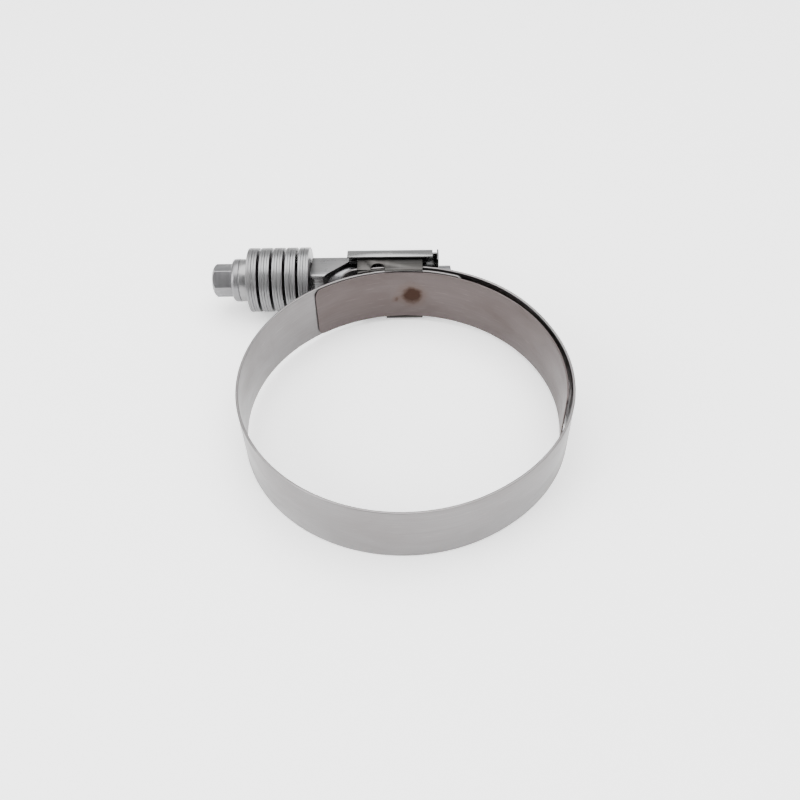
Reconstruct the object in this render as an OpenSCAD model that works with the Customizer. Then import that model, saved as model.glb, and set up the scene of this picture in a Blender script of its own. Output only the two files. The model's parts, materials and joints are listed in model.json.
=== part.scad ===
// Constant-tension worm-drive hose clamp with a captive liner.
// The hose circle is centred on the origin and its axis is Z. The screw lies behind the
// ring, parallel to X at y = axis_y, with its hex head at -X and its tip at +X.
// Angles are measured round Z from +X, so the middle of the housing is near 90 degrees.

/* [Band] */
// Diameter of the hose that the liner seats on
hose_d = 76.2; // [68:0.1:100]
// Width of the band
band_w = 15.9; // [13:0.1:19]
// Thickness of the band
band_t = 0.65; // [0.55:0.05:0.8]
// Distance between neighbouring worm slots
slot_pitch = 3.175; // [2.6:0.005:3.6]
// Width of a worm slot, along the band
slot_w = 1.7; // [1.5:0.05:1.9]
// Length of a worm slot, across the band
slot_l = 9.2; // [8:0.1:10.5]

/* [Liner] */
// Thickness of the liner
liner_t = 0.4; // [0.3:0.05:0.5]
// How much narrower the liner is than the band
liner_inset = 0.6; // [0.2:0.1:1]

/* [Housing] */
// Length of the folded cover
cover_l = 24.6; // [22:0.1:30]
// X of the cover's tip end
cover_x1 = 9.5; // [8.5:0.1:11]
// Sheet thickness of the cover
cover_t = 0.55; // [0.5:0.05:0.8]
// Sheet thickness of the saddle
saddle_t = 0.6; // [0.5:0.05:0.8]
// Length of the cradle's snout, from the cover to the springs
snout_l = 10; // [9:0.1:13]

/* [Screw] */
// Width of the hex head across its flats
hex_af = 8; // [7:0.1:10]
// Height of the hex
hex_l = 5.5; // [4.5:0.1:7]
// Diameter of the shank
shank_d = 8; // [7.4:0.1:9.6]
// Outside diameter of the worm thread
worm_d = 9.3; // [9:0.1:11.2]
// Depth of the worm thread
thread_depth = 0.75; // [0.65:0.05:0.8]
// Diameter of the tip journal
journal_d = 6.8; // [5.6:0.1:7]
// How far the thread bites into the slots
bite = 0.45; // [0.35:0.05:0.5]

/* [Disc springs] */
// Outside diameter of a disc spring
disc_d = 17.6; // [15:0.1:19]
// Sheet thickness of a disc spring
disc_t = 0.64; // [0.5:0.02:0.8]
// Cone height of a disc spring
disc_h = 0.24; // [0.2:0.01:0.4]
// Free play where disc springs meet at their cores
core_play = 0.32; // [0.3:0.01:0.4]
// Free play where disc springs meet at their rims
rim_play = 0.08; // [0.06:0.01:0.2]

/* [Hidden] */

$fn = 96;
eps = 0.01;

// Clearances
lap_gap = 0.04;         // between sheets that lie on each other
slide_gap = 0.3;        // under the sliding tail
side_gap = 0.1;         // beside the band, in the saddle
fold_gap = 0.3;         // between the saddle's walls and the cover's sides
turn_gap = 0.05;        // round the shank and the journal
worm_gap = 0.15;        // round the thread, in the cradle
dome_gap = 0.19;        // between the cradle's shoulders and the cover's dome
joint_gap = 0.06;       // between neighbouring stretches of the band
nest_gap = 0.03;        // between nested disc springs

// Radii of the layers, from the hose outwards
seat_r = hose_d / 2;
band_ir = seat_r + liner_t + lap_gap;
band_or = band_ir + band_t;
saddle_ir = band_or + lap_gap;
saddle_or = saddle_ir + saddle_t;
tail_ir = saddle_or + slide_gap;
tail_or = tail_ir + band_t;
liner_w = band_w - liner_inset;

// Screw axis and worm
worm_r = worm_d / 2;
shank_r = shank_d / 2;
axis_y = tail_or - bite + worm_r;
worm_x0 = -13;
worm_x1 = 5.5;
thread_root_w = 1.35;
thread_crest_w = 0.75;
journal_x1 = cover_x1 + 3.4;

// Angles of the band's stretches
strap_a0 = 66.5;        // loose end of the fixed strap, past the housing
liner_a1 = 127;         // liner's end on the head side
left_a = [128, 175, 222, 270];
right_a = [270, 322, 374, 428];
wing_a0 = -12;          // liner's end on the tip side
wing_a1 = 70;           // where the wing starts to flex
flat_a = 95;            // where the tail leaves the circle and runs straight
tail_l = 13.6;          // straight length of the tail past flat_a
tip_r = 5;              // corner radius of the tail's tip
slot_step = slot_pitch / (tail_or - bite / 2) * 180 / PI;
slot_count_arc = 21;    // slots from the worm round to the tip side
slot_count_tip = 5;     // slots from the worm to the tail's tip

// Cradle's section, measured from the screw axis
cradle_bore_r = max(worm_r, shank_r) + worm_gap;
cradle_z = cradle_bore_r + 0.55;
cradle_top = cradle_bore_r + 0.6;
cradle_low = cradle_bore_r + 0.4;
cradle_shoulder = 2.6;  // how far the upper edges are cut back
seat_plate_t = 1.2;

// Cover's section, measured from the screw axis
dome_ir = norm([cradle_top, cradle_z - cradle_shoulder]) + dome_gap;
shoulder_y = 1.5;       // outer face of the shoulders
skirt_y = -2.4;         // lower rim of the side skirts
fold_r = 1.7;           // outer radius of the fold
end_drop = 0.5;         // how far the end wall reaches past the skirts
wall_z = band_w / 2 + side_gap;
skirt_z = wall_z + saddle_t + fold_gap;
cover_z = skirt_z + cover_t;
cover_x0 = cover_x1 - cover_l;
relief_w = 1.1;         // relief slot between a skirt and the end wall

// Saddle
saddle_x0 = cover_x0 + 2.8;
saddle_x1 = cover_x1 - 4.4;
saddle_rim_y = seat_r + 0.1;
notch_r = 1.8;
notch_x = -6.8;
notch_y = saddle_rim_y + 0.9;

// Cradle's ends
cradle_x0 = cover_x0 - snout_l;
cradle_x1 = cover_x1 - 3.2;

// Disc springs
disc_count = 20;
disc_ir = shank_r + 0.6;
pair_count = disc_count / 2;
pair_t = disc_h + 2 * disc_t + nest_gap;
function pair_play(pair) = ceil(pair / 2) * rim_play + floor(pair / 2) * core_play;
stack_l = pair_count * pair_t + pair_play(pair_count) + core_play;

// Head end of the screw
washer_t = 2;
washer_r = 5.85;
flange_t = 2.1;
flange_r = 5.9;
washer_x1 = cradle_x0 - stack_l;
flange_x1 = washer_x1 - washer_t - turn_gap;
hex_x1 = flange_x1 - flange_t;
hex_x0 = hex_x1 - hex_l;
hex_turn = 17;          // stops with a flat between the ring and the band's upper edge

steel = "gainsboro";
dull_steel = "darkgray";
liner_steel = "silver";

// ---------------------------------------------------------------- helpers

// Extrudes a section drawn in Y and Z from x0 to x1.
module along_x(x0, x1) {
    translate([x0, 0, 0])
        rotate([90, 0, 90])
            linear_extrude(x1 - x0)
                children();
}

// Puts a section or a solid that is drawn round the screw axis in its place.
module on_axis() {
    translate([0, axis_y, 0])
        children();
}

// A bent strip of even thickness, from angle a0 to a1.
module strip(ir, t, w, a0, a1) {
    rotate([0, 0, a0])
        rotate_extrude(angle = a1 - a0, $fn = 360)
            translate([ir, -w / 2])
                square([t, w]);
}

// What is cut from a strip's end to round its corner at height z: side is 1 at its far end
// and -1 at its start. The arc stops just short of a tangent with each edge.
module corner_cut(r_mid, a, z, r, side) {
    reach = 0.95 * r;
    rotate([0, 0, a - side * reach / r_mid * 180 / PI])
        translate([r_mid, 0, z > 0 ? z - reach : z + reach])
            rotate([0, 90, 0])
                difference() {
                    translate([z > 0 ? -r - 1 : 0, side > 0 ? 0 : -r - 1, -2])
                        cube([r + 1, r + 1, 4]);
                    translate([0, 0, -3])
                        cylinder(r = r, h = 6, $fn = 48);
                }
}

module round_end(r_mid, a, w, r, side) {
    for (z = [w / 2, -w / 2])
        corner_cut(r_mid, a, z, r, side);
}

// ---------------------------------------------------------------- band

function smooth(t) = let (u = max(0, min(1, t))) u * u * (3 - 2 * u);

// How far the band stands off its circle on the tip side, where it passes over the liner.
lift_side = 0.85;
lift_dip = 0.05;
lift_high = tail_ir - band_ir;
function lift(a) = lift_side * smooth((a - 298) / 52) - lift_dip * smooth((a - 362) / 26)
    + (lift_high - lift_side + lift_dip) * smooth((a - 380) / 38);
function polar(r, a) = [r * cos(a), r * sin(a)];

// A stretch of the band that passes over the liner.
module lifted_strip(a0, a1) {
    steps = ceil((a1 - a0) / 2);
    angles = [for (i = [0 : steps]) a0 + (a1 - a0) * i / steps];
    inner = [for (a = angles) polar(band_ir + lift(a), a)];
    outer = [for (i = [steps : -1 : 0]) polar(band_ir + lift(angles[i]) + band_t, angles[i])];
    translate([0, 0, -band_w / 2])
        linear_extrude(band_w)
            polygon(concat(inner, outer));
}

// A worm slot, slanted like the thread, drawn along Z on the radius that points to +X.
slot_slant = -atan(slot_pitch / (PI * (worm_d - bite)));
module worm_slot() {
    half = (slot_l - slot_w) / 2;
    rotate([slot_slant, 0, 0]) {
        cube([4, slot_w, 2 * half], center = true);
        for (z = [-half, half])
            translate([0, 0, z])
                rotate([0, 90, 0])
                    cylinder(d = slot_w, h = 4, center = true, $fn = 24);
    }
}

// The slots whose centres lie between a0 and a1, counted from the one under the worm.
module arc_slots(a0, a1) {
    for (i = [0 : slot_count_arc]) {
        a = 450 - i * slot_step;
        if (a > a0 && a < a1)
            rotate([0, 0, a])
                translate([(band_ir + tail_or) / 2, 0, 0])
                    worm_slot();
    }
}

module band_fixed_end() {
    color(steel)
        difference() {
            strip(band_ir, band_t, band_w, strap_a0, left_a[0] - joint_gap);
            round_end(band_ir + band_t / 2, strap_a0, band_w, 2, -1);
        }
}

module band_left(i) {
    color(steel)
        strip(band_ir, band_t, band_w, left_a[i] + joint_gap, left_a[i + 1] - joint_gap);
}

module band_right(i) {
    a0 = right_a[i] + joint_gap;
    a1 = right_a[i + 1] - joint_gap;
    color(steel)
        difference() {
            lifted_strip(a0, a1);
            arc_slots(a0 + 1.5, a1 - 1.5);
        }
}

// The tail lies on the saddle under the worm and leaves the housing in a straight line.
module band_tail() {
    a0 = right_a[3] + joint_gap;
    a1 = 360 + flat_a;
    steps = ceil((a1 - a0) / 2);
    angles = [for (i = [0 : steps]) a0 + (a1 - a0) * i / steps];
    run = tail_l * polar(1, flat_a + 90);
    inner = [for (a = angles) polar(tail_ir, a)];
    outer = [for (i = [steps : -1 : 0]) polar(tail_or, angles[i])];
    color(steel)
        difference() {
            translate([0, 0, -band_w / 2])
                linear_extrude(band_w)
                    polygon(concat(inner, [inner[steps] + run, outer[0] + run], outer));
            arc_slots(a0 + 1.5, a1);
            rotate([0, 0, flat_a])
                for (i = [1 : slot_count_tip])
                    if (i * slot_pitch < tail_l)
                        translate([tail_ir, (i - (flat_a - 90) / slot_step) * slot_pitch, 0])
                            worm_slot();
            rotate([0, 0, flat_a])
                for (s = [-1, 1])
                    translate([tail_ir - 1, tail_l - tip_r, s * (band_w / 2 - tip_r)])
                        rotate([0, 90, 0])
                            difference() {
                                translate([s > 0 ? -tip_r - 1 : 0, 0, 0])
                                    cube([tip_r + 1, tip_r + 1, 3]);
                                translate([0, 0, -1])
                                    cylinder(r = tip_r, h = 5, $fn = 64);
                            }
        }
}

// ---------------------------------------------------------------- liner

module liner() {
    color(liner_steel)
        difference() {
            strip(seat_r, liner_t, liner_w, wing_a1, liner_a1);
            round_end(seat_r + liner_t / 2, liner_a1, liner_w, 2, 1);
        }
}

module liner_wing() {
    color(liner_steel)
        difference() {
            strip(seat_r, liner_t, liner_w, wing_a0, wing_a1 - 2 * joint_gap);
            round_end(seat_r + liner_t / 2, wing_a0, liner_w, 2, -1);
        }
}

// ---------------------------------------------------------------- housing

module saddle() {
    wall_top = axis_y + shoulder_y - fold_r + fold_gap;
    color(dull_steel)
        difference() {
            union() {
                intersection() {
                    translate([0, 0, -wall_z - saddle_t])
                        difference() {
                            cylinder(r = saddle_or, h = 2 * (wall_z + saddle_t), $fn = 360);
                            translate([0, 0, -1])
                                cylinder(r = saddle_ir, h = 2 * (wall_z + saddle_t) + 2, $fn = 360);
                        }
                    translate([saddle_x0, 0, -20])
                        cube([saddle_x1 - saddle_x0, 2 * saddle_or, 40]);
                }
                for (z = [wall_z, -wall_z - saddle_t])
                    translate([saddle_x0, saddle_rim_y, z])
                        cube([saddle_x1 - saddle_x0, wall_top - saddle_rim_y, saddle_t]);
            }
            for (z = [wall_z, -wall_z - saddle_t])
                translate([notch_x, notch_y, z - 1])
                    cylinder(r = notch_r, h = saddle_t + 2, $fn = 48);
        }
}

module cover_section() {
    difference() {
        union() {
            circle(r = dome_ir + cover_t);
            translate([shoulder_y - cover_t, fold_r - cover_z])
                square([cover_t, 2 * (cover_z - fold_r)]);
        }
        circle(r = dome_ir);
        translate([-20 + shoulder_y - cover_t, -20])
            square([20, 40]);
    }
    for (s = [-1, 1]) {
        translate([shoulder_y - fold_r, s * (cover_z - fold_r)])
            intersection() {
                difference() {
                    circle(r = fold_r);
                    circle(r = fold_r - cover_t);
                }
                translate([0, s > 0 ? 0 : -fold_r])
                    square([fold_r, fold_r]);
            }
        translate([skirt_y, s > 0 ? skirt_z : -cover_z])
            square([shoulder_y - fold_r - skirt_y + eps, cover_t]);
    }
}

module cover() {
    skirt_x1 = cover_x1 - cover_t - relief_w;
    color(steel)
        on_axis()
            difference() {
                union() {
                    along_x(cover_x0, cover_x1)
                        cover_section();
                    along_x(cover_x1 - cover_t, cover_x1)
                        difference() {
                            union() {
                                circle(r = dome_ir + eps);
                                translate([skirt_y - end_drop, -cover_z + 0.6])
                                    square([shoulder_y - skirt_y + end_drop - cover_t + eps,
                                            2 * cover_z - 1.2]);
                            }
                            circle(d = journal_d + 2 * turn_gap);
                            translate([-20 + skirt_y - end_drop, -20])
                                square([20, 40]);
                        }
                }
                for (z = [cover_z - fold_r, -20 - cover_z + fold_r])
                    translate([skirt_x1, -20 + shoulder_y - fold_r, z])
                        cube([relief_w, 20, 20]);
            }
}

// The cradle holds the shank behind the springs and covers the worm's outer half.
module worm_cradle() {
    bevel = 0.8;
    open_x0 = cover_x0 - 6.7;
    open_y1 = 0.9;
    color(dull_steel)
        on_axis()
            difference() {
                along_x(cradle_x0, cradle_x1)
                    polygon([
                        [-cradle_low + bevel, cradle_z], [cradle_top - cradle_shoulder, cradle_z],
                        [cradle_top, cradle_z - cradle_shoulder],
                        [cradle_top, cradle_shoulder - cradle_z],
                        [cradle_top - cradle_shoulder, -cradle_z], [-cradle_low + bevel, -cradle_z],
                        [-cradle_low, bevel - cradle_z], [-cradle_low, cradle_z - bevel]]);
                translate([cradle_x0 + seat_plate_t, 0, 0])
                    rotate([0, 90, 0])
                        cylinder(r = cradle_bore_r, h = 60);
                translate([cradle_x0 - 1, 0, 0])
                    rotate([0, 90, 0])
                        cylinder(r = shank_r + turn_gap, h = 10);
                translate([0, 0, -10])
                    linear_extrude(20)
                        polygon([
                            [open_x0, -cradle_low - 1], [open_x0, -cradle_low],
                            [cover_x0 + 0.2, open_y1], [cover_x1 + 1, open_y1],
                            [cover_x1 + 1, -cradle_low - 1]]);
            }
}

// ---------------------------------------------------------------- screw

// Right-hand thread: at the band it stands in the slots.
module worm_thread() {
    per_turn = 24;
    turns = (worm_x1 - worm_x0 - slot_pitch * 0.9) / slot_pitch;
    count = floor(turns * per_turn);
    first = floor((worm_x0 + slot_pitch * 0.45) / slot_pitch * per_turn);
    root = worm_r - thread_depth - 0.15;
    last = 4 * count;
    function ring(i) =
        let (a = (first + i) * 360 / per_turn + 180,
             x = (first + i) * slot_pitch / per_turn,
             fade = smooth(min(i, count - i) / 6),
             crest = root + 0.16 + (worm_r - root - 0.16) * fade,
             wr = thread_root_w / 2 + 0.06,
             wc = thread_crest_w / 2)
        [for (p = [[-wr, root], [wr, root], [wc, crest], [-wc, crest]])
            [x + p[0], p[1] * cos(a), p[1] * sin(a)]];
    points = [for (i = [0 : count]) each ring(i)];
    sides = [for (i = [0 : count - 1], k = [0 : 3])
        let (a = 4 * i + k, b = 4 * i + (k + 1) % 4)
        each [[a, a + 4, b], [b, a + 4, b + 4]]];
    ends = [[0, 1, 2], [0, 2, 3], [last, last + 2, last + 1], [last, last + 3, last + 2]];
    polyhedron(points, concat(sides, ends), convexity = 10);
}

module screw() {
    neck_r = worm_r - thread_depth;
    edge = 0.35;
    fillet = 0.9;
    color(dull_steel)
        on_axis() {
            rotate([0, 90, 0])
                rotate_extrude()
                    polygon([
                        [0, hex_x1], [flange_r - fillet, hex_x1],
                        [flange_r, hex_x1 + fillet], [flange_r, flange_x1], [shank_r, flange_x1],
                        [shank_r, worm_x0 - 1], [neck_r, worm_x0], [neck_r, worm_x1],
                        [journal_d / 2, worm_x1], [journal_d / 2, journal_x1 - edge],
                        [journal_d / 2 - edge, journal_x1], [0, journal_x1]]);
            intersection() {
                translate([hex_x0, 0, 0])
                    rotate([hex_turn, 0, 0])
                        rotate([0, 90, 0])
                            cylinder(d = hex_af / cos(30), h = hex_l + 0.5, $fn = 6);
                rotate([0, 90, 0])
                    rotate_extrude()
                        polygon([[0, hex_x0], [hex_af / 2 - 0.1, hex_x0],
                            [hex_af / 2 + 1.4, hex_x0 + 0.85], [hex_af / 2 + 1.4, hex_x1 + 0.5],
                            [0, hex_x1 + 0.5]]);
            }
            worm_thread();
        }
}

module thrust_washer() {
    color(steel)
        on_axis()
            translate([washer_x1 - washer_t, 0, 0])
                rotate([0, 90, 0])
                    difference() {
                        cylinder(r = washer_r, h = washer_t);
                        translate([0, 0, -1])
                            cylinder(r = shank_r + turn_gap, h = washer_t + 2);
                    }
}

// ---------------------------------------------------------------- disc springs

// Disc i counts from the housing. Discs are nested in twos, and each two face the next two.
module disc_spring(i) {
    pair = floor(i / 2);
    inner_first = pair % 2 == 0;
    nested = (i % 2) * (disc_t + nest_gap);
    x = cradle_x0 - core_play - pair * pair_t - pair_play(pair) - nested;
    rim = disc_d / 2;
    lean = inner_first ? [0, -disc_h] : [-disc_h, 0];
    edge = 0.12;
    color(dull_steel)
        on_axis()
            rotate([0, 90, 0])
                rotate_extrude()
                    polygon([
                        [disc_ir, x + lean[0]], [rim - edge, x + lean[1]],
                        [rim, x + lean[1] - edge], [rim, x + lean[1] - disc_t + edge],
                        [rim - edge, x + lean[1] - disc_t], [disc_ir, x + lean[0] - disc_t]]);
}

// ---------------------------------------------------------------- nodes

cover();
saddle();
worm_cradle();
liner();
liner_wing();
band_fixed_end();
band_left(0);  // band_left_upper
band_left(1);  // band_left_middle
band_left(2);  // band_left_front
band_right(0);  // band_right_front
band_right(1);  // band_right_middle
band_right(2);  // band_right_upper
band_tail();
screw();
thrust_washer();
for (i = [0 : disc_count - 1])
    disc_spring(i);
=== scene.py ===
import json
import math

import bmesh
import bpy
from mathutils import Matrix, Vector


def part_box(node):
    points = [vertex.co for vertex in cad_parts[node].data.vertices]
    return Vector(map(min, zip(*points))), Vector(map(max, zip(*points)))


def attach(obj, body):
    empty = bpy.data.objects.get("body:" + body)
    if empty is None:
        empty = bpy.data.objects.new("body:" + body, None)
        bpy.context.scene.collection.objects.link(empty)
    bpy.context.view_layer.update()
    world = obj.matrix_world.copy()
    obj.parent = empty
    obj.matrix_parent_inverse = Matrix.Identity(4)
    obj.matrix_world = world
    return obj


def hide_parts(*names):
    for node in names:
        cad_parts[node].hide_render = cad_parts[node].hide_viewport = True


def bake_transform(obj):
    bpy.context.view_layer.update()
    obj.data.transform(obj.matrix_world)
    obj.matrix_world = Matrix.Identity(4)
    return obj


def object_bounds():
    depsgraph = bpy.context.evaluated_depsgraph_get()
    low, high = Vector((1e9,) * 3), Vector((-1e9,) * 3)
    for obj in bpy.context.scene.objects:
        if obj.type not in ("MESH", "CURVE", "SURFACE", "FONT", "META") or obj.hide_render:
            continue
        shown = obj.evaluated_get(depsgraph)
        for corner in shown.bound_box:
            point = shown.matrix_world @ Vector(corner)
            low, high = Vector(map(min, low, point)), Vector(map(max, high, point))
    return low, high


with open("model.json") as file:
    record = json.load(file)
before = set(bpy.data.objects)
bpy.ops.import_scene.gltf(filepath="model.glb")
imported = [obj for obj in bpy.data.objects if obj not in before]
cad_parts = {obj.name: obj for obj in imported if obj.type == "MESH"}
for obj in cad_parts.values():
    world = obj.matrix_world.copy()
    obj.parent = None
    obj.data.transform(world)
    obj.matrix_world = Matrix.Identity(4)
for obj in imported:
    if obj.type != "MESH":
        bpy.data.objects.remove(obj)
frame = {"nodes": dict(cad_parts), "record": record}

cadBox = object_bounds()
mm = 0.001


def middle(node):
    low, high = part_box(node)
    return (low + high) / 2


def mountRadius(name):
    return next(m["dims"]["r_mm"] for m in frame["record"]["mounts"] if m["name"] == name)


seatR = mountRadius("hose_seat")                 # everything below is in millimetres until it is finished
screwY = middle("thrust_washer").y / mm
washerX = [v.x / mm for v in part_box("thrust_washer")]
screwX = [v.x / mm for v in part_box("screw")]
coverX = [v.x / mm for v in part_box("cover")]
cradleX = [v.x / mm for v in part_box("worm_cradle")]
saddleX = [v.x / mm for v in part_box("saddle")]
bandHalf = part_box("band_tail")[1].z / mm
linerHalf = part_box("liner")[1].z / mm


def finishPiece(bm, name, body, material, replaced=(), sharp=35):
    bmesh.ops.remove_doubles(bm, verts=bm.verts, dist=0.0005)
    bmesh.ops.recalc_face_normals(bm, faces=bm.faces)
    bmesh.ops.scale(bm, vec=(mm, mm, mm), verts=bm.verts)
    mesh = bpy.data.meshes.new(name)
    bm.to_mesh(mesh)
    bm.free()
    mesh.shade_smooth()
    mesh.set_sharp_from_angle(angle=math.radians(sharp))
    mesh.materials.append(material)
    piece = bpy.data.objects.new(name, mesh)
    bpy.context.scene.collection.objects.link(piece)
    if body:
        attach(piece, body)
    if replaced:
        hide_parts(*replaced)
    return piece


def arc(centre, radius, start, end, steps):
    # its angles are in degrees
    turn = [math.radians(start + (end - start) * i / steps) for i in range(steps + 1)]
    return [(centre[0] + radius * math.cos(a), centre[1] + radius * math.sin(a)) for a in turn]


def rounded(points, radii, steps=5):
    # a closed outline with each corner rounded to its own radius
    made = []
    for i, here in enumerate(points):
        here = Vector(here)
        before = Vector(points[i - 1])
        after = Vector(points[(i + 1) % len(points)])
        r = radii[i] if isinstance(radii, (list, tuple)) else radii
        if r <= 0:
            made.append(tuple(here))
            continue
        into, out = (before - here).normalized(), (after - here).normalized()
        half = into.angle(out) / 2
        reach = min(r / math.tan(half), (before - here).length * 0.49, (after - here).length * 0.49)
        for k in range(steps + 1):
            t = k / steps
            a, b = here + into * reach, here + out * reach
            made.append(tuple(a * (1 - t) ** 2 + here * 2 * t * (1 - t) + b * t ** 2))
    return made


def outlineFace(bm, points, place):
    return bm.faces.new([bm.verts.new(place(p)) for p in points])


def prism(points, place, shift):
    # an outline pushed out into a solid
    bm = bmesh.new()
    face = outlineFace(bm, points, place)
    made = bmesh.ops.extrude_face_region(bm, geom=[face])
    top = [v for v in made["geom"] if isinstance(v, bmesh.types.BMVert)]
    bmesh.ops.translate(bm, vec=shift, verts=top)
    bmesh.ops.recalc_face_normals(bm, faces=bm.faces)
    return bm


def alongX(points, x0, x1):
    return prism(points, lambda p: (x0, screwY + p[0], p[1]), (x1 - x0, 0, 0))


def softenEdges(bm, width, segments=3, above=30, keep=None):
    edges = [e for e in bm.edges if len(e.link_faces) == 2
             and e.calc_face_angle(0) > math.radians(above) and (keep is None or keep(e))]
    bmesh.ops.bevel(bm, geom=edges, offset=width, offset_type="OFFSET", segments=segments,
                    profile=0.5, affect="EDGES", clamp_overlap=True, material=-1)


def spun(points, steps=96):
    # a closed or axis-to-axis profile of (x, radius) turned round the screw's axis
    bm = bmesh.new()
    verts = [bm.verts.new((x, screwY + r, 0)) for x, r in points]
    edges = [bm.edges.new(pair) for pair in zip(verts, verts[1:])]
    if points[0][1] > 0.001:
        edges.append(bm.edges.new((verts[-1], verts[0])))
    bmesh.ops.spin(bm, geom=verts + edges, cent=(0, screwY, 0), axis=(1, 0, 0), dvec=(0, 0, 0),
                   angle=math.tau, steps=steps, use_merge=True, use_duplicate=False)
    bmesh.ops.remove_doubles(bm, verts=bm.verts, dist=0.0005)
    bmesh.ops.recalc_face_normals(bm, faces=bm.faces)
    return bm


def addTo(bm, other):
    mesh = bpy.data.meshes.new("part")
    other.to_mesh(mesh)
    other.free()
    bm.from_mesh(mesh)
    bpy.data.meshes.remove(mesh)
    return bm


def combine(bm, cutter, operation="DIFFERENCE"):
    # cuts one closed mesh from another, or keeps what they share
    pair = []
    for source in (bm, cutter):
        mesh = bpy.data.meshes.new("part")
        bmesh.ops.recalc_face_normals(source, faces=source.faces)
        source.to_mesh(mesh)
        source.free()
        pair.append(bpy.data.objects.new("part", mesh))
        bpy.context.scene.collection.objects.link(pair[-1])
    cut = pair[0].modifiers.new("cut", "BOOLEAN")
    cut.object = pair[1]
    cut.operation = operation
    cut.solver = "EXACT"
    graph = bpy.context.evaluated_depsgraph_get()
    graph.update()
    result = bpy.data.meshes.new_from_object(pair[0].evaluated_get(graph))
    made = bmesh.new()
    made.from_mesh(result)
    bpy.data.meshes.remove(result)
    for part in pair:
        mesh = part.data
        bpy.data.objects.remove(part)
        bpy.data.meshes.remove(mesh)
    bmesh.ops.remove_doubles(made, verts=made.verts, dist=0.0005)
    return made


def node(tree, kind, **values):
    made = tree.nodes.new(kind)
    for key, value in values.items():
        if key in made.inputs:
            made.inputs[key].default_value = value
        else:
            setattr(made, key, value)
    return made


def steel(name, look):
    # stainless steel with a grain that runs one way, soft cloudy staining and fine scratches
    material = bpy.data.materials.new(name)
    material.use_nodes = True
    tree = material.node_tree
    tree.nodes.clear()
    link = tree.links.new
    out = node(tree, "ShaderNodeOutputMaterial")
    shader = node(tree, "ShaderNodeBsdfPrincipled")
    shader.inputs["Metallic"].default_value = look["metallic"]
    shader.inputs["Anisotropic"].default_value = look["anisotropic"]
    link(shader.outputs["BSDF"], out.inputs["Surface"])
    coords = node(tree, "ShaderNodeTexCoord")
    source = coords.outputs["UV" if look["follows"] == "strip" else "Object"]

    def grain(scale, detail, distortion=0.0):
        mapping = node(tree, "ShaderNodeMapping")
        mapping.inputs["Scale"].default_value = scale
        link(source, mapping.inputs["Vector"])
        texture = node(tree, "ShaderNodeTexNoise", Scale=1.0, Detail=detail, Roughness=0.62,
                       Distortion=distortion)
        link(mapping.outputs["Vector"], texture.inputs["Vector"])
        return texture.outputs["Fac"]

    def remap(value, low, high, toLow, toHigh):
        ranged = node(tree, "ShaderNodeMapRange")
        for key, number in (("From Min", low), ("From Max", high), ("To Min", toLow), ("To Max", toHigh)):
            ranged.inputs[key].default_value = number
        link(value, ranged.inputs["Value"])
        return ranged.outputs["Result"]

    def mixed(factor, first, second, blend="MIX"):
        mix = node(tree, "ShaderNodeMix", data_type="RGBA", blend_type=blend)
        link(factor, mix.inputs["Factor"])
        sockets = [s for s in mix.inputs if s.type == "RGBA"]
        for socket, value in zip(sockets, (first, second)):
            if isinstance(value, tuple):
                socket.default_value = (*value, 1)
            else:
                link(value, socket)
        return [s for s in mix.outputs if s.type == "RGBA"][0]

    lines = grain(look["lineScale"], 4.0)
    fine = grain(tuple(3.7 * s for s in look["lineScale"]), 2.0)
    clouds = grain(look["cloudScale"], 3.0, 0.6)
    scratches = grain(look["scratchScale"], 1.0)
    dark = tuple(c * (1 - look["contrast"]) for c in look["color"])
    light = tuple(min(1, c * (1 + look["contrast"])) for c in look["color"])
    color = mixed(remap(lines, 0.3, 0.7, 0, 1), dark, light)
    warm = tuple(c * w for c, w in zip(look["color"], look["stain"]))
    color = mixed(remap(clouds, 0.45, 0.75, 0, look["stainAmount"]), color, warm)
    scratch = remap(scratches, 0.66, 0.74, 0, look["scratchAmount"])
    color = mixed(scratch, color, tuple(min(1, c * 1.5) for c in look["color"]))
    for spot in look.get("spots", ()):
        geometry = node(tree, "ShaderNodeVectorMath", operation="DISTANCE")
        geometry.inputs[1].default_value = [v * mm for v in spot["at"]]
        link(coords.outputs["Object"], geometry.inputs[0])
        wobble = node(tree, "ShaderNodeTexNoise", Scale=420.0, Detail=3.0)
        link(coords.outputs["Object"], wobble.inputs["Vector"])
        shake = remap(wobble.outputs["Fac"], 0.3, 0.7, -spot["wobble"] * mm, spot["wobble"] * mm)
        moved = node(tree, "ShaderNodeMath", operation="ADD")
        link(geometry.outputs["Value"], moved.inputs[0])
        link(shake, moved.inputs[1])
        halo = remap(moved.outputs["Value"], spot["halo"] * mm, spot["radius"] * 0.7 * mm, 0, 0.45)
        color = mixed(halo, color, spot["haloColor"])
        core = remap(moved.outputs["Value"], spot["radius"] * mm, spot["radius"] * 0.55 * mm,
                     0, spot["depth"])
        color = mixed(core, color, spot["color"])
    link(color, shader.inputs["Base Color"])
    roughness = node(tree, "ShaderNodeMath", operation="ADD")
    link(remap(lines, 0.3, 0.7, look["rough"] - look["roughSpread"], look["rough"]), roughness.inputs[0])
    link(remap(clouds, 0.35, 0.75, 0, look["roughSpread"] * 1.5), roughness.inputs[1])
    link(roughness.outputs["Value"], shader.inputs["Roughness"])
    height = node(tree, "ShaderNodeMath", operation="ADD")
    link(remap(fine, 0.2, 0.8, 0, 1), height.inputs[0])
    link(remap(scratch, 0, 1, 0, -1.5), height.inputs[1])
    bump = node(tree, "ShaderNodeBump", Strength=look["bump"], Distance=look["bumpDepth"] * mm)
    link(height.outputs["Value"], bump.inputs["Height"])
    link(bump.outputs["Normal"], shader.inputs["Normal"])
    return material


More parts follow.
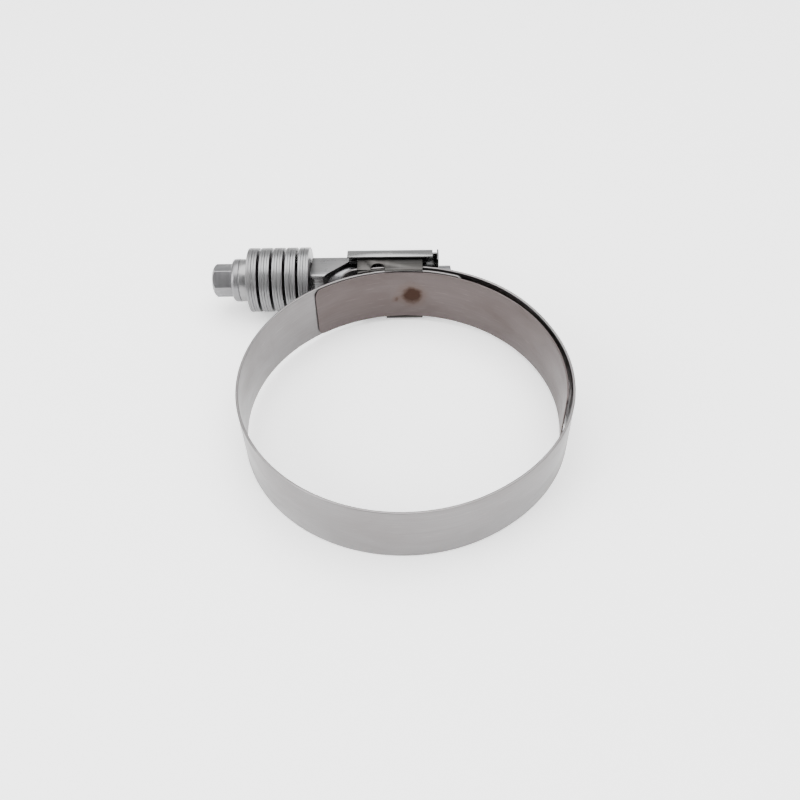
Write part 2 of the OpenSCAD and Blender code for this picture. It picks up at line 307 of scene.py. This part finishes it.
steelBase = {
    "color": (0.30, 0.30, 0.30), "metallic": 1.0, "anisotropic": 0.0, "follows": "object",
    "lineScale": (900, 60, 60), "cloudScale": (90, 90, 90), "scratchScale": (500, 40, 500),
    "contrast": 0.10, "stain": (0.86, 0.82, 0.80), "stainAmount": 0.5, "scratchAmount": 0.35,
    "rough": 0.36, "roughSpread": 0.08, "bump": 0.25, "bumpDepth": 0.02,
}
stripGrain = {"follows": "strip", "lineScale": (28, 2600, 1), "cloudScale": (45, 120, 1),
              "scratchScale": (160, 2200, 1), "anisotropic": 0.35}
weldSpots = {
    "color": (0.026, 0.013, 0.009), "haloColor": (0.075, 0.050, 0.038), "wobble": 0.45, "depth": 0.95,
}
looks = {
    "band": {**steelBase, **stripGrain, "color": (0.168, 0.161, 0.161), "rough": 0.36},
    "liner": {**steelBase, **stripGrain, "color": (0.090, 0.075, 0.073), "rough": 0.44,
              "stainAmount": 0.7, "contrast": 0.08, "spots": (
                  {**weldSpots, "at": (2.2, seatR, -0.1), "radius": 3.2, "halo": 5.0},
                  {**weldSpots, "at": (-1.9, seatR, -1.5), "radius": 0.9, "halo": 1.6, "depth": 0.4})},
    "cover": {**steelBase, "color": (0.205, 0.205, 0.204), "lineScale": (40, 1500, 1500), "rough": 0.20},
    # the saddle's base colour is painted shade: it is far darker than the cradle and cover, which are the
    # same steel, to stand in for the shade on its walls under the cover's skirt
    "saddle": {**steelBase, "color": (0.050, 0.048, 0.046), "lineScale": (60, 1300, 1300), "rough": 0.32},
    "cradle": {**steelBase, "color": (0.205, 0.205, 0.207), "lineScale": (60, 1300, 1300), "rough": 0.28},
    "screw": {**steelBase, "color": (0.175, 0.175, 0.181), "lineScale": (1400, 50, 50), "rough": 0.30},
    "washer": {**steelBase, "color": (0.21, 0.21, 0.213), "lineScale": (1400, 50, 50), "rough": 0.30},
    "disc": {**steelBase, "color": (0.175, 0.175, 0.178), "lineScale": (1600, 40, 40), "rough": 0.34,
             "contrast": 0.16, "roughSpread": 0.1},
}
metals = {name: steel(name + "Steel", look) for name, look in looks.items()}
print("materials made")


# each strip is modelled flat, cut, then bent to its curve
strip = {
    "linerT": 0.4, "bandT": 0.65, "lap": 0.04, "saddleT": 0.6, "slide": 0.3,
    "liftSide": 0.85, "liftFrom": 298, "liftOver": 52, "dip": 0.05, "dipFrom": 362, "dipOver": 26,
    "riseFrom": 380, "riseOver": 38,
    "flatAngle": 95, "tailLength": 13.6, "tipR": 5, "bite": 0.45,
    "slotPitch": 3.175, "slotW": 1.7, "slotL": 9.2, "slotSlant": 6.92, "slotsRound": 21, "slotsTip": 5,
    "underScrew": 450, "slotsToSplit": 10.5, "blend": 12, "edge": 0.2, "step": 1.4,
}
bandIr = seatR + strip["linerT"] + strip["lap"]
saddleIr = bandIr + strip["bandT"] + strip["lap"]
tailIr = saddleIr + strip["saddleT"] + strip["slide"]
flatR = tailIr + strip["bandT"] / 2               # one degree is this radius' arc while the strip is flat
slotStep = math.degrees(strip["slotPitch"] / (tailIr + strip["bandT"] - strip["bite"] / 2))


def ease(t):
    t = max(0.0, min(1.0, t))
    return t * t * (3 - 2 * t)


def bandInner(angle):
    s = strip
    side = s["liftSide"] * ease((angle - s["liftFrom"]) / s["liftOver"])
    dip = s["dip"] * ease((angle - s["dipFrom"]) / s["dipOver"])
    rise = tailIr - bandIr - s["liftSide"] + s["dip"]
    return bandIr + side - dip + rise * ease((angle - s["riseFrom"]) / s["riseOver"])


def flatX(angle):
    return math.radians(angle) * flatR


def slotPlaces():
    first = strip["underScrew"]
    flat = 360 + strip["flatAngle"]
    places = [flatX(first - i * slotStep) for i in range(strip["slotsRound"] + 1)]
    places += [flatX(flat) + (i - (flat - first) / slotStep) * strip["slotPitch"]
               for i in range(1, strip["slotsTip"] + 1) if i * strip["slotPitch"] < strip["tailLength"]]
    return places


def slotCutter(places):
    bm = bmesh.new()
    for x in places:
        verts = bmesh.ops.create_cube(bm, size=1)["verts"]
        bmesh.ops.scale(bm, vec=(strip["slotW"], 6, strip["slotL"]), verts=verts)
        corners = {e for v in verts for e in v.link_edges if abs((e.verts[0].co - e.verts[1].co).y) > 1}
        made = bmesh.ops.bevel(bm, geom=list(corners), offset=strip["slotW"] * 0.49, offset_type="OFFSET",
                               segments=6, profile=0.5, affect="EDGES", clamp_overlap=True, material=-1)
        island = set(made["verts"])
        for v in list(island):
            island.update(u for f in v.link_faces for u in f.verts)
        turn = Matrix.Rotation(math.radians(strip["slotSlant"]), 3, "Y")
        bmesh.ops.rotate(bm, cent=(0, 0, 0), matrix=turn, verts=list(island))
        bmesh.ops.translate(bm, vec=(x, 0, 0), verts=list(island))
    return bm


def flatStrip(x0, x1, half, thick, edge, startR=0.0, endR=0.0, slots=()):
    # lies along X with its thickness along Y: y = 0 is the face towards the hose
    outline = rounded([(x0, -half), (x1, -half), (x1, half), (x0, half)], [startR, endR, endR, startR], 9)
    bm = prism(outline, lambda p: (p[0], 0, p[1]), (0, thick, 0))

    def rim(e):
        # an end that carries on into the next stretch stays square
        for x, cornerR in ((x0, startR), (x1, endR)):
            if cornerR == 0 and any(abs(v.co.x - x) < 1e-4 for v in e.verts):
                lengthwise = abs(e.verts[0].co.x - e.verts[1].co.x) > 0.1
                return lengthwise and all(abs(abs(v.co.z) - half) < 1e-4 for v in e.verts)
        return True
    softenEdges(bm, edge, 3, 60, lambda e: rim(e) and abs(e.verts[0].co.y - e.verts[1].co.y) < 1e-4)
    if slots:
        bm = combine(bm, slotCutter(slots))
    cuts = int((x1 - x0) / strip["step"])
    for i in range(1, cuts):
        x = x0 + (x1 - x0) * i / cuts
        bmesh.ops.bisect_plane(bm, geom=bm.verts[:] + bm.edges[:] + bm.faces[:], dist=1e-5,
                               plane_co=(x, 0, 0), plane_no=(1, 0, 0))
    return bm


def bend(bm, place):
    # the strip's own run and width stay on it as a UV map, for the rolling grain
    layer = bm.loops.layers.uv.new("run")
    for face in bm.faces:
        for loop in face.loops:
            co = loop.vert.co
            loop[layer].uv = (co.x * mm, (co.z + co.y) * mm)
    for v in bm.verts:
        v.co = place(v.co.x, v.co.y, v.co.z)


def onBand(x, out, z):
    angle = math.degrees(x / flatR)
    flat = 360 + strip["flatAngle"]
    turn = math.radians(min(angle, flat))
    r = bandInner(angle) + out
    extra = max(0.0, x - flatX(flat))
    across, up = math.cos(turn), math.sin(turn)
    return Vector((r * across - extra * up, r * up + extra * across, z))


def onLiner(x, out, z):
    turn = x / flatR
    return Vector(((seatR + out) * math.cos(turn), (seatR + out) * math.sin(turn), z))


# each stretch runs from the middle of one rigid arc to the middle of the next, over one hinge,
# and the last two meet halfway between two slots
tailStart = strip["underScrew"] - strip["slotsToSplit"] * slotStep
bandStretches = [
    {"name": "strapEnd", "from": 66.5, "to": 151.5, "hinge": 128, "bodies": ("root", "band_left_upper"),
     "nodes": ("band_fixed_end",), "startR": 2.0},
    {"name": "bandLeftHigh", "from": 151.5, "to": 198.5, "hinge": 175,
     "bodies": ("band_left_upper", "band_left_middle"), "nodes": ("band_left_upper",)},
    {"name": "bandLeftLow", "from": 198.5, "to": 246, "hinge": 222,
     "bodies": ("band_left_middle", "band_left_front"), "nodes": ("band_left_middle",)},
    {"name": "bandFront", "from": 246, "to": 296, "hinge": 270,
     "bodies": ("band_left_front", "band_right_front"), "nodes": ("band_left_front",)},
    {"name": "bandRightLow", "from": 296, "to": 348, "hinge": 322,
     "bodies": ("band_right_front", "band_right_middle"), "nodes": ("band_right_front",)},
    {"name": "bandRightHigh", "from": 348, "to": tailStart, "hinge": 374,
     "bodies": ("band_right_middle", "band_right_upper"), "nodes": ("band_right_middle",)},
    {"name": "bandTail", "from": tailStart, "to": 455, "hinge": 428, "past": strip["tailLength"],
     "bodies": ("band_right_upper", "band_tail"), "nodes": ("band_right_upper", "band_tail"),
     "endR": strip["tipR"]},
]


def makeBand():
    places = slotPlaces()
    for stretch in bandStretches:
        x0 = flatX(stretch["from"])
        x1 = flatX(stretch["to"]) + stretch.get("past", 0)
        own = [x for x in places if x0 < x < x1]
        bm = flatStrip(x0, x1, bandHalf, strip["bandT"], strip["edge"],
                       stretch.get("startR", 0), stretch.get("endR", 0), own)
        bend(bm, onBand)
        piece = finishPiece(bm, stretch["name"], None, metals["band"], stretch["nodes"])
        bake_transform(piece)
    print("band made")


linerSizes = {"from": -12, "to": 127, "hinge": 69.94, "blend": 9, "cornerR": 2.2, "edge": 0.12}


def makeLiner():
    bm = flatStrip(flatX(linerSizes["from"]), flatX(linerSizes["to"]), linerHalf, strip["linerT"],
                   linerSizes["edge"], linerSizes["cornerR"], linerSizes["cornerR"])
    bend(bm, onLiner)
    piece = finishPiece(bm, "linerStrip", None, metals["liner"], ("liner", "liner_wing"))
    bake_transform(piece)
    print("liner made")


saddleSizes = {"rimY": seatR + 0.1, "topY": screwY + 0.1, "wallZ": bandHalf + 0.1, "notchX": -6.8,
               "notchY": seatR + 1.0, "notchR": 1.8, "edge": 0.1, "soft": 0.12}


def makeSaddle():
    s = saddleSizes
    x0, x1 = saddleX
    t = strip["saddleT"]
    r = saddleIr + t / 2
    bm = flatStrip(flatX(90) - x1 * flatR / r, flatX(90) - x0 * flatR / r,
                   s["wallZ"] + t / 2, t, s["edge"])
    bend(bm, lambda x, out, z: Vector(((saddleIr + out) * math.cos(x / flatR),
                                       (saddleIr + out) * math.sin(x / flatR), z)))
    for side in (-1, 1):
        hole = bmesh.new()
        bmesh.ops.create_cone(hole, cap_ends=True, segments=48, radius1=s["notchR"], radius2=s["notchR"],
                              depth=2)
        bmesh.ops.translate(hole, vec=(s["notchX"], s["notchY"], side * (s["wallZ"] + 1)), verts=hole.verts)
        bm = combine(bm, hole)
    outline = [(x0, s["topY"]), (x0, s["rimY"]), (s["notchX"] - s["notchR"], s["rimY"])]
    outline += arc((s["notchX"], s["notchY"]), s["notchR"], 180, 0, 20)
    outline += [(s["notchX"] + s["notchR"], s["rimY"]), (x1, s["rimY"]), (x1, s["topY"])]
    for z in (s["wallZ"], -s["wallZ"] - t):
        wall = prism(outline, lambda p: (p[0], p[1], z), (0, 0, t))
        softenEdges(wall, s["soft"], 2, 60)
        addTo(bm, wall)
    # the saddle gets the darkened steel, painted shade for its walls under the cover
    finishPiece(bm, "saddlePressing", "root", metals["saddle"], ("saddle",))
    print("saddle made")


coverSizes = {"t": 0.55, "domeR": 6.8, "shoulderY": 1.5, "skirtY": -2.4, "foldR": 1.7, "z": 9.5,
              "bendR": 1.0, "relief": 1.1, "tipR": 3.45, "edge": 0.14, "cornerR": 1.1,
              "wallDrop": 0.5, "wallIn": 0.6, "wallEdge": 0.3}


def coverSide():
    # half of the folded section, from the crown down to the hem, on the sheet's outer face
    c = coverSizes
    crownEnd = math.degrees(math.acos((c["shoulderY"] + c["bendR"]) / (c["domeR"] + c["bendR"])))
    half = arc((0, 0), c["domeR"], 0, crownEnd, 20)
    away = (c["domeR"] + c["bendR"]) * math.sin(math.radians(crownEnd))
    half += arc((c["shoulderY"] + c["bendR"], away), c["bendR"], crownEnd + 180, 180, 6)[1:]
    half += arc((c["shoulderY"] - c["foldR"], c["z"] - c["foldR"]), c["foldR"], 0, 90, 10)
    half += [(c["skirtY"], c["z"])]
    return half


def makeCover():
    c = coverSizes
    half = coverSide()
    path = [(y, -z) for y, z in reversed(half)] + half[1:]
    x0, x1 = coverX
    skirtX = x1 - c["t"] - c["relief"]
    bm = bmesh.new()
    verts = [bm.verts.new((x0, screwY + y, z)) for y, z in path]
    edges = [bm.edges.new(pair) for pair in zip(verts, verts[1:])]
    limit = c["z"] - c["foldR"] + 0.05             # the skirts stop at the relief slots, the roof runs on
    for x in (skirtX, x1 - c["cornerR"] * 0.5):
        made = bmesh.ops.extrude_edge_only(bm, edges=edges)["geom"]
        moved = [v for v in made if isinstance(v, bmesh.types.BMVert)]
        for v in moved:
            v.co.x = x
        edges = [e for e in made if isinstance(e, bmesh.types.BMEdge) and all(v in moved for v in e.verts)
                 and all(abs(v.co.z) < limit for v in e.verts)]
    bmesh.ops.recalc_face_normals(bm, faces=bm.faces)
    crown = max(bm.faces, key=lambda f: f.calc_center_median().y)
    if crown.normal.y < 0:
        bmesh.ops.reverse_faces(bm, faces=bm.faces)
    bmesh.ops.solidify(bm, geom=bm.faces[:], thickness=c["t"])
    softenEdges(bm, c["edge"], 2, 60)
    addTo(bm, endWall())
    finishPiece(bm, "coverFolded", "root", metals["cover"], ("cover",))
    print("cover made")


def endWall():
    c = coverSizes
    x1 = coverX[1]
    low = c["skirtY"] - c["wallDrop"]
    wide = c["z"] - c["wallIn"]
    outline = [(low, -wide), (c["shoulderY"], -wide)]
    angle = math.degrees(math.asin(c["shoulderY"] / c["domeR"]))
    outline += arc((0, 0), c["domeR"], angle - 90, 90 - angle, 32)
    outline += [(c["shoulderY"], wide), (low, wide)]
    wall = alongX(outline, x1 - c["t"], x1)
    softenEdges(wall, c["wallEdge"], 3, 60)
    hole = spun([(x1 - 3, 0), (x1 - 3, c["tipR"]), (x1 + 3, c["tipR"]), (x1 + 3, 0)], 64)
    return combine(wall, hole)


cradleSizes = {"z": 5.35, "top": 5.4, "low": 5.2, "shoulder": 2.6, "boreR": 4.8, "plate": 1.2,
               "shankR": 4.05, "openAt": -6.7, "openY": 0.9, "hemR": 1.1, "roofR": 1.0, "edge": 0.15}


def makeCradle():
    c = cradleSizes
    x0, x1 = cradleX
    z, top, low = c["z"], c["top"], -c["low"]
    outline = [(low, z), (top - c["shoulder"], z), (top, z - c["shoulder"]), (top, c["shoulder"] - z),
               (top - c["shoulder"], -z), (low, -z)]
    outline = rounded(outline, [c["hemR"]] + [c["roofR"]] * 4 + [c["hemR"]], 5)
    bm = alongX(outline, x0, x1)
    softenEdges(bm, c["edge"], 2, 60)
    bore = spun([(x0 - 1, 0), (x0 - 1, c["shankR"]), (x0 + c["plate"], c["shankR"]),
                 (x0 + c["plate"], c["boreR"]), (x1 + 1, c["boreR"]), (x1 + 1, 0)], 64)
    bm = combine(bm, bore)
    openX = coverX[0]
    mouth = [(openX + c["openAt"], low - 1), (openX + c["openAt"], low), (openX + 0.2, c["openY"]),
             (x1 + 1, c["openY"]), (x1 + 1, low - 1)]
    cutter = prism(mouth, lambda p: (p[0], screwY + p[1], -10), (0, 0, 20))
    bm = combine(bm, cutter)
    finishPiece(bm, "cradleBox", "root", metals["cradle"], ("worm_cradle",))
    print("cradle made")


screwSizes = {
    "hexAf": 8.0, "hexL": 5.5, "hexTurn": 17, "hexEdge": 0.22, "dishR": 2.9, "flangeT": 2.1, "flangeR": 5.9,
    "shankR": 4.0, "neckR": 3.9, "wormX": (-13, 5.5), "wormR": 4.65, "threadDepth": 0.75, "rootW": 1.4,
    "crestW": 0.75, "crestR": 0.15, "sink": 0.15, "clear": 0.45, "fade": 0.7, "tipR": 3.4, "perTurn": 24,
}


def wormThread():
    s = screwSizes
    pitch = strip["slotPitch"]
    root = s["wormR"] - s["threadDepth"] - s["sink"]
    first = math.floor((s["wormX"][0] + pitch * s["clear"]) / pitch * s["perTurn"])
    turns = (s["wormX"][1] - s["wormX"][0] - pitch * (2 * s["clear"])) / pitch
    count = math.floor(turns * s["perTurn"])
    x = first * pitch / s["perTurn"]
    profile = rounded([(-s["rootW"] / 2, root), (-s["crestW"] / 2, s["wormR"]),
                       (s["crestW"] / 2, s["wormR"]), (s["rootW"] / 2, root)],
                      [0, s["crestR"], s["crestR"], 0], 3)
    bm = bmesh.new()
    face = outlineFace(bm, profile, lambda p: (x + p[0], screwY - p[1], 0))
    turn = Matrix.Rotation(first * math.tau / s["perTurn"], 3, "X")
    bmesh.ops.rotate(bm, cent=(0, screwY, 0), matrix=turn, verts=face.verts)
    bmesh.ops.spin(bm, geom=[face], cent=(0, screwY, 0), axis=(1, 0, 0), dvec=(pitch / s["perTurn"], 0, 0),
                   angle=count * math.tau / s["perTurn"], steps=count, use_duplicate=False)
    ends = (x, x + count * pitch / s["perTurn"])
    for v in bm.verts:
        away = Vector((0, v.co.y - screwY, v.co.z))
        inside = min(v.co.x - ends[0], ends[1] - v.co.x)
        fade = ease((inside + s["fade"]) / (2 * s["fade"]))
        radius = root + (away.length - root) * max(fade, 0.1)
        away = away.normalized() * radius
        v.co.y, v.co.z = screwY + away.y, away.z
    bmesh.ops.recalc_face_normals(bm, faces=bm.faces)
    return bm


def hexHead():
    s = screwSizes
    x0 = screwX[0]
    x1 = x0 + s["hexL"]
    corner = s["hexAf"] / 2 / math.cos(math.pi / 6)
    bm = bmesh.new()
    bmesh.ops.create_cone(bm, cap_ends=True, segments=6, radius1=corner, radius2=corner,
                          depth=s["hexL"] + 0.6)
    bmesh.ops.rotate(bm, cent=(0, 0, 0), matrix=Matrix.Rotation(math.pi / 2, 3, "Y"), verts=bm.verts)
    flat = min(bm.faces, key=lambda f: f.normal.dot(Vector((0, 1, 0))))
    angle = math.atan2(flat.normal.z, flat.normal.y)
    want = math.radians(120 + s["hexTurn"])
    bmesh.ops.rotate(bm, cent=(0, 0, 0), matrix=Matrix.Rotation(want - angle, 3, "X"), verts=bm.verts)
    bmesh.ops.translate(bm, vec=((x0 + x1 + 0.6) / 2, screwY, 0), verts=bm.verts)
    softenEdges(bm, s["hexEdge"], 3, 40, lambda e: abs((e.verts[0].co - e.verts[1].co).x) > 2)
    profile = [(x0 + 0.35, 0), (x0 + 0.35, s["dishR"] - 0.5), (x0 + 0.05, s["dishR"]),
               (x0, s["dishR"] + 0.4),
               (x0, corner - 1.1), (x0 + 0.22, corner - 0.72), (x0 + 0.95, corner + 0.1),
               (x1 + 1, corner + 0.1), (x1 + 1, 0)]
    return combine(bm, spun(profile, 72), "INTERSECT")


def makeScrew():
    s = screwSizes
    hexEnd = screwX[0] + s["hexL"]
    flangeEnd = hexEnd + s["flangeT"]
    tip = screwX[1]
    corner = [(hexEnd, 0), (hexEnd, s["flangeR"]), (flangeEnd, s["flangeR"]), (flangeEnd, s["shankR"]),
              (s["wormX"][0] - 1, s["shankR"]), (s["wormX"][0], s["neckR"]), (s["wormX"][1], s["neckR"]),
              (s["wormX"][1], s["tipR"]), (tip, s["tipR"]), (tip, 0)]
    bm = spun(rounded(corner, [0, 1.0, 0.15, 0.1, 0.2, 0.2, 0.1, 0.1, 0.35, 0], 6), 96)
    addTo(bm, hexHead())
    addTo(bm, wormThread())
    finishPiece(bm, "hexScrew", "screw", metals["screw"], ("screw",), sharp=28)
    print("screw made")


washerSizes = {"outR": 5.85, "inR": 4.05, "edge": 0.12}


def makeWasher():
    w = washerSizes
    x0, x1 = washerX
    ring = [(x0, w["inR"]), (x0, w["outR"]), (x1, w["outR"]), (x1, w["inR"])]
    bm = spun(rounded(ring, [0.1, w["edge"], w["edge"], 0.1], 4), 96)
    finishPiece(bm, "thrustRing", "thrust_washer", metals["washer"], ("thrust_washer",))
    print("washer made")


discSizes = {"t": 0.64, "h": 0.24, "inR": 4.6, "rimEdge": 0.07, "coreEdge": 0.07}


def makeDiscs():
    d = discSizes
    springs = [n for n in sorted(frame["nodes"]) if n.startswith("disc_")]
    for i, name in enumerate(springs):
        low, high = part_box(name)
        rim = (high.y - low.y) / 2 / mm
        leanFirst = (i // 2) % 2 == 0             # these touch at the core, the next two at the rim
        x = high.x / mm
        core, edge = (x, x - d["h"]) if leanFirst else (x - d["h"], x)
        ring = [(core, d["inR"]), (edge, rim), (edge - d["t"], rim), (core - d["t"], d["inR"])]
        bm = spun(rounded(ring, [d["coreEdge"], d["rimEdge"], d["rimEdge"], d["coreEdge"]], 4), 96)
        finishPiece(bm, f"discSpring{i + 1:02d}", f"disc_pair_{i // 2 + 1:02d}",
                    metals["disc"], (name,))
    print("disc springs made")


stageSizes = {"wide": 3.0, "frontY": -(seatR + 1.1), "frontZ": -bandHalf, "gap": 0.05,
              "color": (0.93, 0.93, 0.93), "glow": 0.62}


def makeStage():
    low = cadBox[0].z / mm
    g = stageSizes
    slope = math.atan2(g["frontZ"] - low, screwY - g["frontY"])
    bm = bmesh.new()
    bmesh.ops.create_grid(bm, x_segments=2, y_segments=2, size=g["wide"] / 2)
    bmesh.ops.rotate(bm, cent=(0, 0, 0), matrix=Matrix.Rotation(-slope, 3, "X"), verts=bm.verts)
    bmesh.ops.translate(bm, vec=(0, screwY * mm, (low - g["gap"]) * mm), verts=bm.verts)
    mesh = bpy.data.meshes.new("floor")
    bm.to_mesh(mesh)
    bm.free()
    material = bpy.data.materials.new("paleFloor")
    material.use_nodes = True
    shader = material.node_tree.nodes["Principled BSDF"]
    shader.inputs["Base Color"].default_value = (*g["color"], 1)
    shader.inputs["Roughness"].default_value = 0.9
    shader.inputs["Emission Color"].default_value = (1, 1, 1, 1)
    shader.inputs["Emission Strength"].default_value = g["glow"]      # a softly lit table
    mesh.materials.append(material)
    floor = bpy.data.objects.new("floor", mesh)
    bpy.context.scene.collection.objects.link(floor)
    print("floor made")


lights = [
    {"name": "overhead", "at": (0.05, 0.10, 0.75), "size": 0.9, "power": 14},
    {"name": "leftSoft", "at": (-0.70, -0.25, 0.45), "size": 0.6, "power": 9},
    {"name": "frontSoft", "at": (0.35, -0.75, 0.55), "size": 0.6, "power": 6},
]
worldLight = {"pale": (1.0, 1.0, 1.0), "dim": (0.03, 0.03, 0.032), "strength": 1.35,
              "dimSide": (0.02, -0.68, 0.73), "dimFrom": 0.70, "dimTo": 0.95}


def makeWorld():
    # an even white room with one dim side, which gives the polished edges something to reflect
    w = worldLight
    world = bpy.data.worlds.new("studio")
    world.use_nodes = True
    tree = world.node_tree
    link = tree.links.new
    sky = tree.nodes["Background"]
    coords = node(tree, "ShaderNodeTexCoord")
    towards = node(tree, "ShaderNodeVectorMath", operation="DOT_PRODUCT")
    towards.inputs[1].default_value = w["dimSide"]
    link(coords.outputs["Generated"], towards.inputs[0])
    fade = node(tree, "ShaderNodeMapRange", interpolation_type="SMOOTHSTEP")
    fade.inputs["From Min"].default_value = w["dimFrom"]
    fade.inputs["From Max"].default_value = w["dimTo"]
    link(towards.outputs["Value"], fade.inputs["Value"])
    mix = node(tree, "ShaderNodeMix", data_type="RGBA")
    link(fade.outputs["Result"], mix.inputs["Factor"])
    pale, dim = [socket for socket in mix.inputs if socket.type == "RGBA"]
    pale.default_value = (*w["pale"], 1)
    dim.default_value = (*w["dim"], 1)
    link([socket for socket in mix.outputs if socket.type == "RGBA"][0], sky.inputs["Color"])
    sky.inputs["Strength"].default_value = w["strength"]
    bpy.context.scene.world = world


def makeLights():
    for light in lights:
        data = bpy.data.lights.new(light["name"], "AREA")
        data.shape = "SQUARE"
        data.size = light["size"]
        data.energy = light["power"]
        lamp = bpy.data.objects.new(light["name"], data)
        lamp.location = light["at"]
        lamp.rotation_euler = (-Vector(light["at"])).to_track_quat("-Z", "Y").to_euler()
        bpy.context.scene.collection.objects.link(lamp)
    print("lights made")


cameraView = {
    "at": (2.77, -138.31, 151.54), "lens": 38.25,
    "right": (0.9997954, 0.00491412, -0.01962184),
    "down": (-0.00955986, -0.74007944, -0.67245151),
    "ahead": (-0.01782623, 0.67250151, -0.73988104),
}


def makeCamera():
    c = cameraView
    data = bpy.data.cameras.new("camera")
    data.lens = c["lens"]
    data.sensor_width = 36
    data.clip_start = 0.01
    camera = bpy.data.objects.new("camera", data)
    axes = Matrix((c["right"], [-v for v in c["down"]], [-v for v in c["ahead"]])).transposed()
    camera.matrix_world = Matrix.Translation(Vector(c["at"]) * mm) @ axes.to_4x4()
    bpy.context.scene.collection.objects.link(camera)
    bpy.context.scene.camera = camera


makeCamera()
makeWorld()
makeLights()
makeStage()
makeBand()
makeLiner()
makeSaddle()
makeCover()
makeCradle()
makeScrew()
makeWasher()
makeDiscs()
